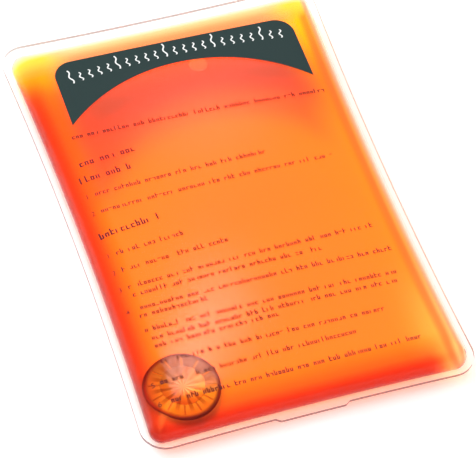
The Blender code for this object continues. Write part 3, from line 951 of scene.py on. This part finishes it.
def film_piece(name, form, side, materials):
    """One film: its inner face from the sheet, thickened outwards, its cut edge in its own material."""
    film = new_piece(name, mesh_from(name, lambda bm: form.sheet(bm, side)), *materials)
    wall = film.modifiers.new("film", "SOLIDIFY")
    wall.thickness = settings("pouch").film
    wall.offset = 1
    wall.use_even_offset = True
    wall.material_offset_rim = 1
    return made_plain(film)


def film_surface():
    """The front film's outer face, for laying print on it."""
    film = bpy.data.objects["front_film_skin"]
    return BVHTree.FromObject(film, context_graph())


def laid_on(surface, x, y, lift):
    """The point of the front film over or under (x, y), raised by the lift."""
    above = Vector((x, y, 1.0))
    place = surface.ray_cast(above, Vector((0, 0, -1)))[0]
    return place + Vector((0, 0, lift))


def panel_places(form, columns=140, rows=24):
    """The header panel as a grid of (x, y, share from its rim) between its arch and its top."""
    ink = settings("print")
    half = ink.panel_width / 2
    top = form.weld_top - ink.panel_top
    arch_centre = top - ink.panel_waist - ink.arch_radius
    turn = Matrix.Rotation(ink.panel_turn, 2)
    grid = []
    for k in range(columns + 1):
        across = -math.cos(math.pi * k / columns)
        x = half * across
        into_corner = max(abs(x) - (half - ink.panel_radius), 0.0)
        high = top - ink.panel_radius + math.sqrt(max(ink.panel_radius**2 - into_corner**2, 0.0))
        low = arch_centre + math.sqrt(ink.arch_radius**2 - x**2)
        column = []
        for j in range(rows + 1):
            y = low + (high - low) * j / rows
            rim = min(half - abs(x), y - low, high - y)
            turned = turn @ Vector((x, y))
            column.append((turned.x + ink.panel_x, turned.y, rim))
        grid.append(column)
    return grid


def add_grid(bm, grid):
    """Quads over a grid of vertices given column by column, facing up."""
    for left, right in zip(grid, grid[1:]):
        for k in range(len(left) - 1):
            bm.faces.new((left[k], right[k], right[k + 1], left[k + 1]))


def solid_ink(name, mesh, material, thickness):
    piece = new_piece(name, mesh, material)
    ink = piece.modifiers.new("ink", "SOLIDIFY")
    ink.thickness = thickness
    ink.offset = 1
    return made_plain(piece)


class WARMER_OT_gel(Operator):
    """Make the liquid"""

    bl_idname = "warmer.gel"
    bl_label = "Liquid"

    def execute(self, context):
        gel = new_piece("gel_liquid", gel_mesh(PouchForm()), gel_material())
        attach(gel, "pouch")
        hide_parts("gel_fill")
        return {"FINISHED"}


class WARMER_OT_films(Operator):
    """Make the front and the back film"""

    bl_idname = "warmer.films"
    bl_label = "Films"

    def execute(self, context):
        form = PouchForm()
        materials = (film_material(), cut_edge_material())
        for name, side, node in (("front_film_skin", 1, "front_film"), ("back_film_skin", -1, "back_film")):
            film = film_piece(name, form, side, materials)
            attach(film, "pouch")
            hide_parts(node)
        return {"FINISHED"}


class WARMER_OT_header(Operator):
    """Print the header panel"""

    bl_idname = "warmer.header"
    bl_label = "Header panel"

    def execute(self, context):
        ink = settings("print")
        surface = film_surface()

        def build(bm):
            grid = [
                [bm.verts.new(laid_on(surface, x, y, ink.ink_lift)) for x, y, rim in column]
                for column in panel_places(PouchForm())
            ]
            add_grid(bm, grid)

        mesh = mesh_from("header_panel", build)
        panel = solid_ink("header_panel", mesh, slate_material(), ink.ink_thickness)
        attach(panel, "pouch")
        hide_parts("header_print")
        return {"FINISHED"}


class WARMER_OT_instructions(Operator):
    """Print the lines of marks and the steps' numbers"""

    bl_idname = "warmer.instructions"
    bl_label = "Instruction marks"

    def execute(self, context):
        ink = settings("print")
        material = mark_material()
        tree = stroke_tree()
        waves = new_piece("header_waves", self.wave_edges(ink))
        grown(waves, wave_tree(), {
            "Pitch": ink.wave_pitch, "Height": ink.wave_height, "Width": ink.wave_width,
            "Thickness": ink.ink_thickness, "Lift": ink.ink_lift * 2 + ink.ink_thickness * 1.5,
            "Turns": ink.wave_turns, "Swing": ink.wave_swing, "Group": ink.wave_group,
            "Drop": ink.wave_low, "Film": bpy.data.objects["front_film_skin"], "Ink": white_ink_material(),
        })
        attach(waves, "pouch")
        rows = (("text_marks", TEXT_LINES, 1.0), ("heading_marks", HEADING_LINES, ink.heading))
        for name, lines, size in rows:
            marks = new_piece(name, line_edges(name, lines))
            grown(marks, tree, {
                "Pitch": ink.stroke_pitch * size, "Width": ink.stroke_width * size,
                "Low": ink.stroke_low * size, "Tall": ink.stroke_tall * size,
                "Thickness": ink.ink_thickness, "Word Step": ink.word_step, "Gaps": ink.word_gaps,
                "Talls": ink.tall_marks, "Reach": ink.letter_reach, "Bar": ink.bar_height,
                "Lift": ink.ink_lift, "Seed": ink.seed, "Film": bpy.data.objects["front_film_skin"],
                "Ink": material,
            })
            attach(marks, "pouch")
        numbers = new_piece("step_numbers", self.numbers(ink), material)
        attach(numbers, "pouch")
        return {"FINISHED"}

    def wave_edges(self, ink, steps=30):
        """A shallow arc in the header panel."""
        middle = PouchForm().weld_top - ink.wave_foot

        def build(bm):
            made = []
            for k in range(steps + 1):
                across = 2 * k / steps - 1
                place = (ink.wave_reach * across, middle - ink.wave_sag * across**2, 0)
                made.append(bm.verts.new(place))
            for pair in zip(made, made[1:]):
                bm.edges.new(pair)

        return mesh_from("header_waves", build)

    def numbers(self, ink):
        """Plain digits, each laid on the film."""
        surface = film_surface()
        bm = bmesh.new()
        for digit, place in STEP_NUMBERS:
            font = bpy.data.curves.new("digit", "FONT")
            font.body = digit
            font.size = ink.numeral
            font.extrude = ink.ink_thickness / 2
            thing = bpy.data.objects.new("digit", font)
            bpy.context.scene.collection.objects.link(thing)
            mesh = bpy.data.meshes.new_from_object(thing.evaluated_get(context_graph()))
            before = len(bm.verts)
            bm.from_mesh(mesh)
            bm.verts.ensure_lookup_table()
            for vertex in bm.verts[before:]:
                x, y = vertex.co.x + place[0] * MM, vertex.co.y + place[1] * MM
                vertex.co = laid_on(surface, x, y, ink.ink_lift + vertex.co.z)
            bpy.data.objects.remove(thing, do_unlink=True)
        bmesh.ops.remove_doubles(bm, verts=bm.verts, dist=0.001 * MM)
        mesh = bpy.data.meshes.new("step_numbers")
        bm.to_mesh(mesh)
        bm.free()
        return mesh


def disc_centre():
    low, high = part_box("clicker_disc_rim")
    disc = settings("disc")
    return Vector(((low.x + high.x) / 2, (low.y + high.y) / 2, high.z - disc.thickness))


def polar_sheet(bm, rings, turns, centre, closed_middle=False, skip=None):
    """A sheet of rings of (radius, height) round a centre. A ring's angles come from turns(radius)."""
    made = []
    for index, (radius, height) in enumerate(rings):
        if closed_middle and index == 0:
            made.append([bm.verts.new(centre + Vector((0, 0, height(0.0))))] * len(turns(radius)))
            continue
        row = []
        for angle in turns(radius):
            place = Vector((radius * math.cos(angle), radius * math.sin(angle), height(angle)))
            row.append(bm.verts.new(centre + place))
        made.append(row)
    count = len(made[0])
    for index, (inner, outer) in enumerate(zip(made, made[1:])):
        for k in range(count):
            if skip and skip(index, k):
                continue
            corners = [inner[k], outer[k], outer[(k + 1) % count], inner[(k + 1) % count]]
            if corners[0] is corners[3]:
                corners.pop()
            bm.faces.new(corners)


class WARMER_OT_disc(Operator):
    """Make the clicker disc's rim and its snap dome"""

    bl_idname = "warmer.disc"
    bl_label = "Clicker disc"

    SECTOR_STEPS = 9
    SLOT_RINGS = 8
    LIP_RINGS = 4
    DOME_TURNS = 144
    DOME_RINGS = 14

    def rim(self, disc, centre):
        outer, inner = disc.diameter / 2, disc.dome_diameter / 2 + disc.dome_gap
        lip, slot_end = outer - disc.lip_width, outer - disc.slot_end
        slot_rings, lip_rings = self.SLOT_RINGS, self.LIP_RINGS
        radii = [inner + (slot_end - inner) * k / slot_rings for k in range(slot_rings + 1)]
        radii += [lip + disc.lip_width * k / lip_rings for k in range(lip_rings + 1)]

        def turns(radius):
            half_slot = math.asin(disc.slot_width / 2 / radius)
            angles = []
            for k in range(disc.slots):
                middle = math.tau * (k + 0.5) / disc.slots
                angles.append(middle - half_slot)
                sector = math.tau / disc.slots - 2 * half_slot
                steps = range(self.SECTOR_STEPS)
                angles += [middle + half_slot + sector * j / self.SECTOR_STEPS for j in steps]
            return angles

        def height(radius):
            into_lip = max(radius - lip, 0.0) / disc.lip_width
            return lambda angle: -disc.lip_drop * into_lip**2

        per_sector = self.SECTOR_STEPS + 1
        def build(bm):
            rings = [(radius, height(radius)) for radius in radii]
            polar_sheet(
                bm, rings, turns, centre,
                skip=lambda ring, k: ring < slot_rings and k % per_sector == 0,
            )

        return mesh_from("clicker_rim", build)

    def dome(self, disc, centre):
        radius = disc.dome_diameter / 2
        sphere = (radius**2 + disc.dome_depth**2) / (2 * disc.dome_depth)

        def turns(_):
            return [math.tau * k / self.DOME_TURNS for k in range(self.DOME_TURNS)]

        def height(r):
            cap = sphere - disc.dome_depth - math.sqrt(sphere**2 - r**2)
            bend = math.sin(math.pi * r / radius) ** 2
            return lambda angle: cap + disc.crease / 2 * bend * math.cos(disc.slots * angle)

        def build(bm):
            radii = [radius * k / self.DOME_RINGS for k in range(self.DOME_RINGS + 1)]
            polar_sheet(bm, [(r, height(r)) for r in radii], turns, centre, closed_middle=True)

        return mesh_from("clicker_dome", build)

    def execute(self, context):
        disc = settings("disc")
        centre = disc_centre()
        steel = steel_material(centre)
        for name, mesh, body, node in (
            ("clicker_rim_plate", self.rim(disc, centre), "disc_rim", "clicker_disc_rim"),
            ("clicker_snap_dome", self.dome(disc, centre), "disc_dome", "clicker_disc_dome"),
        ):
            piece = new_piece(name, mesh, steel)
            wall = piece.modifiers.new("sheet", "SOLIDIFY")
            wall.thickness = disc.thickness
            wall.offset = 1
            made_plain(piece)
            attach(piece, body)
            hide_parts(node)
        return {"FINISHED"}


class WARMER_OT_stage(Operator):
    """Set the table, the lights and the camera"""

    bl_idname = "warmer.stage"
    bl_label = "Stage"

    BOUNCES = 32
    LAMP_PLACE = (-0.45, 0.35, 1.05)
    FLOOR_HALF = 1.5
    FLOOR_DEPTH = -0.3 * MM
    # Soft bright places of the white room in gloss: direction x and y, half sizes, power
    PATCHES = (
        (0.23, 0.53, 0.30, 0.26, 0.9),
        (0.178, 0.463, 0.075, 0.045, 10.0),
        (0.25, 0.64, 0.16, 0.09, 2.2),
    )

    def camera(self, stage):
        right = Vector((0.94306, -0.32437, 0.07365))
        down = Vector((-0.22298, -0.78081, -0.58362))
        view = Vector((0.24681, 0.53397, -0.80868))
        place = Vector((-0.21126, -0.46298, 0.69483))
        data = bpy.data.cameras.new("camera")
        data.lens = stage.lens
        data.sensor_width = 36.0
        camera = bpy.data.objects.new("camera", data)
        bpy.context.scene.collection.objects.link(camera)
        turn = Matrix((right, -down, -view)).transposed()
        camera.matrix_world = Matrix.Translation(place) @ turn.to_4x4()
        bpy.context.scene.camera = camera

    def lamp(self, stage):
        """A large soft lamp at the back left, aimed at the pouch and left out of gloss."""
        data = bpy.data.lights.new("soft_lamp", "AREA")
        data.size = stage.lamp_size
        data.energy = stage.lamp
        lamp = bpy.data.objects.new("soft_lamp", data)
        bpy.context.scene.collection.objects.link(lamp)
        lamp.location = self.LAMP_PLACE
        lamp.visible_glossy = False
        lamp.rotation_euler = (-Vector(self.LAMP_PLACE)).to_track_quat("-Z", "Y").to_euler()

    def world(self):
        world = bpy.data.worlds.new("plain_white")
        world.use_nodes = True
        nodes = Nodes(world.node_tree)
        stage = settings("stage")
        camera = nodes.add("ShaderNodeLightPath", output="Is Camera Ray")
        refracted = nodes.other(camera, "Is Transmission Ray")
        seen = camera.larger(refracted)
        strength = seen * (1.0 - stage.sky) + stage.sky
        glossy = nodes.other(camera, "Is Glossy Ray") * (1.0 - refracted)
        x, y, z = nodes.axes(nodes.add("ShaderNodeTexCoord", output="Generated"))
        mirrored = stage.mirrored
        for across, along, wide, deep, power in self.PATCHES:
            off_x, off_y = (x - across) / wide, (y - along) / deep
            mirrored = (off_x * off_x + off_y * off_y).math("SQRT").eased(1.0, 0.0) * power + mirrored
        strength = strength + glossy * (mirrored - strength)
        sky = nodes.add("ShaderNodeBackground", values={"Color": (1.0, 1.0, 1.0, 1.0), "Strength": strength})
        nodes.add("ShaderNodeOutputWorld", values={"Surface": sky})
        bpy.context.scene.world = world

    def floor(self):
        def build(bm):
            bmesh.ops.create_grid(bm, x_segments=1, y_segments=1, size=self.FLOOR_HALF)
            bmesh.ops.translate(bm, verts=bm.verts, vec=(0, 0, self.FLOOR_DEPTH))

        new_piece("table", mesh_from("table", build), floor_material())

    def execute(self, context):
        stage = settings("stage")
        self.camera(stage)
        self.world()
        self.floor()
        self.lamp(stage)
        context.scene.view_settings.view_transform = "Standard"
        for limit in ("max_bounces", "glossy_bounces", "transmission_bounces", "transparent_max_bounces"):
            setattr(context.scene.cycles, limit, self.BOUNCES)
        return {"FINISHED"}


class WARMER_PT_panel(Panel):
    """The hand warmer's sizes and steps"""

    bl_idname = "WARMER_PT_panel"
    bl_label = "Gel hand warmer"
    bl_space_type = "VIEW_3D"
    bl_region_type = "UI"
    bl_category = "Hand warmer"

    def draw(self, context):
        for step in STEPS:
            self.layout.operator(step.bl_idname)
        for name, group in GROUPS.items():
            box = self.layout.box()
            for key in group.__annotations__:
                box.prop(settings(name), key)


GROUPS = {
    "pouch": WarmerPouch,
    "gel": WarmerGel,
    "print": WarmerPrint,
    "disc": WarmerDisc,
    "stage": WarmerStage,
}
STEPS = (
    WARMER_OT_films,
    WARMER_OT_gel,
    WARMER_OT_disc,
    WARMER_OT_header,
    WARMER_OT_instructions,
    WARMER_OT_stage,
)
CLASSES = (*GROUPS.values(), *STEPS, WARMER_PT_panel)


def register():
    for item in CLASSES:
        bpy.utils.register_class(item)
    for name, group in GROUPS.items():
        setattr(bpy.types.Scene, "warmer_" + name, PointerProperty(type=group))


def unregister():
    for name in GROUPS:
        delattr(bpy.types.Scene, "warmer_" + name)
    for item in reversed(CLASSES):
        bpy.utils.unregister_class(item)


def main():
    register()
    bpy.ops.warmer.films()
    bpy.ops.warmer.gel()
    bpy.ops.warmer.disc()
    bpy.ops.warmer.header()
    bpy.ops.warmer.instructions()
    bpy.ops.warmer.stage()


if __name__ == "__main__":
    main()
